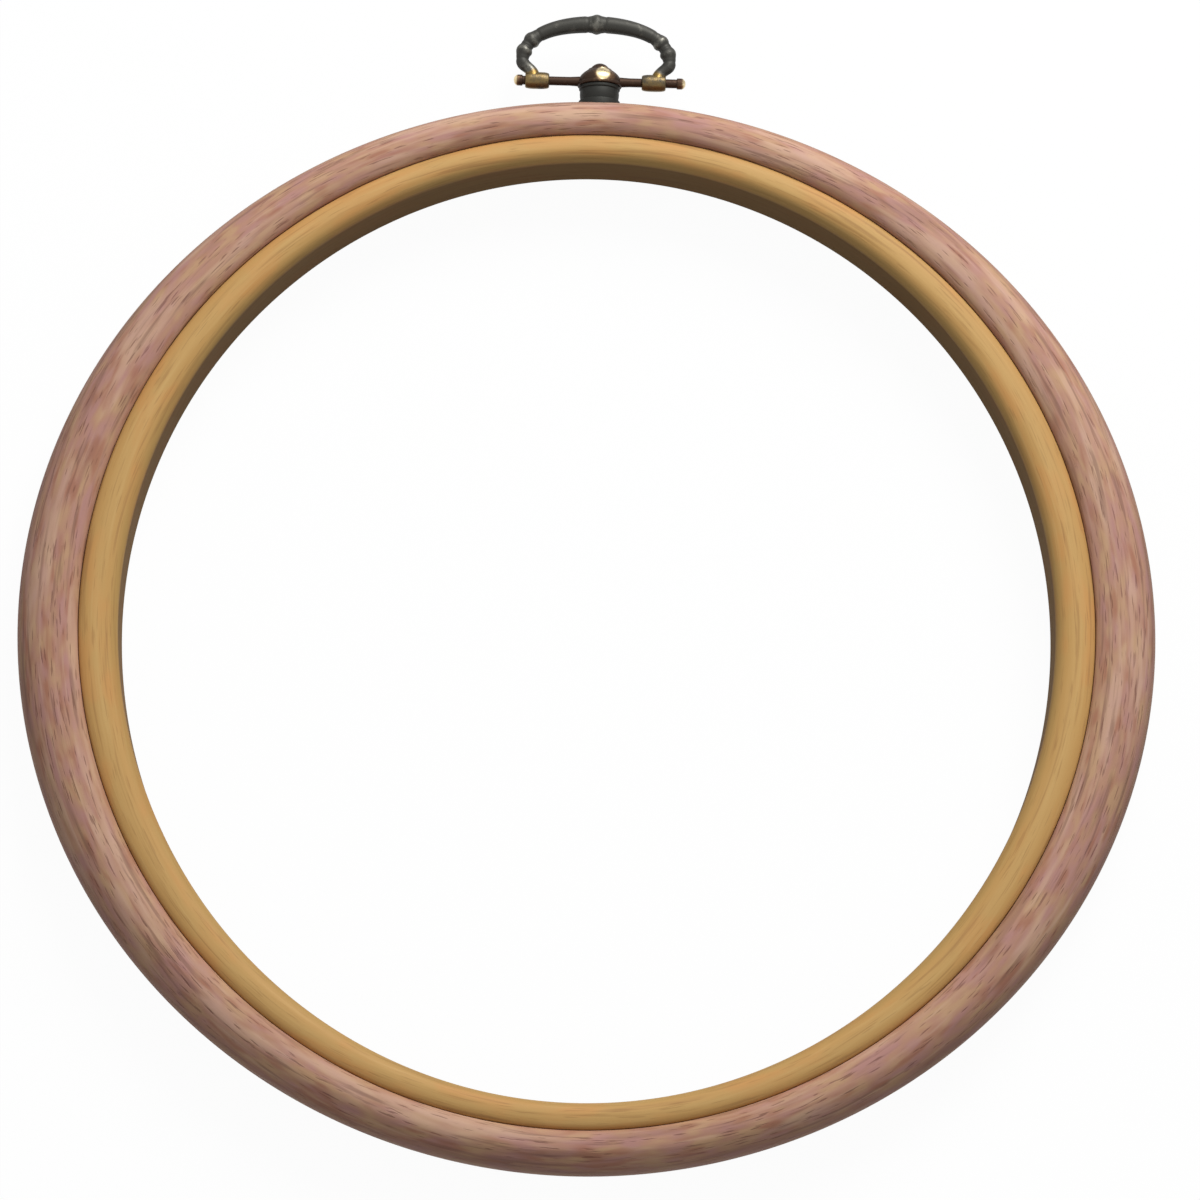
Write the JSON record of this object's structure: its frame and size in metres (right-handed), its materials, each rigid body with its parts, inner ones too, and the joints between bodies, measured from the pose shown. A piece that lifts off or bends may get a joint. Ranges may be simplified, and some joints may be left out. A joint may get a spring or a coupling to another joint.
{
  "type": "embroidery hoop",
  "caption": "Round two-ring embroidery hoop and frame: rigid inner ring, flexible wood-look outer ring that presses on over it, and a brass hanger with a swinging bail.",
  "frame": {"origin": "middle of the whole outline in X and Y, on the plane of the flat back face", "axes": "+Z out of the front of the hoop, +Y from the hoop's centre to the hanger, +X to the right seen from the front"},
  "size_m": [0.1712, 0.1794, 0.012],
  "materials": {
    "inner_plastic": "satin ochre plastic with a fine lengthwise grain",
    "rim_vinyl": "satin rose-brown vinyl with a printed wood-like streak",
    "dark_brass": "blackened antique plating, rubbed on the high spots",
    "antique_brass": "antique brass, dull with bright edges",
    "steel": "plain zinc-plated"
  },
  "bodies": {
    "inner": {"inner_ring": "inner_plastic"},
    "outer": {"outer_ring": "rim_vinyl", "hanger_ferrule": "dark_brass", "hanger_crossbar": "antique_brass", "left_end_cap": "antique_brass", "right_end_cap": "antique_brass", "screw_washer": "steel", "hanger_screw": "steel"},
    "bail": {"hanger_bail": "dark_brass"}
  },
  "joints": [
    {"name": "outer_ring_lift", "type": "slide", "parent": "inner", "child": "outer", "axis": [0, 0, 1], "range_m": [0, 0.012]},
    {"name": "bail_swing", "type": "hinge", "parent": "outer", "child": "bail", "pos_m": [0, 0.07892, 0.006], "axis": [1, 0, 0], "range_deg": [-124, 128]}
  ]
}
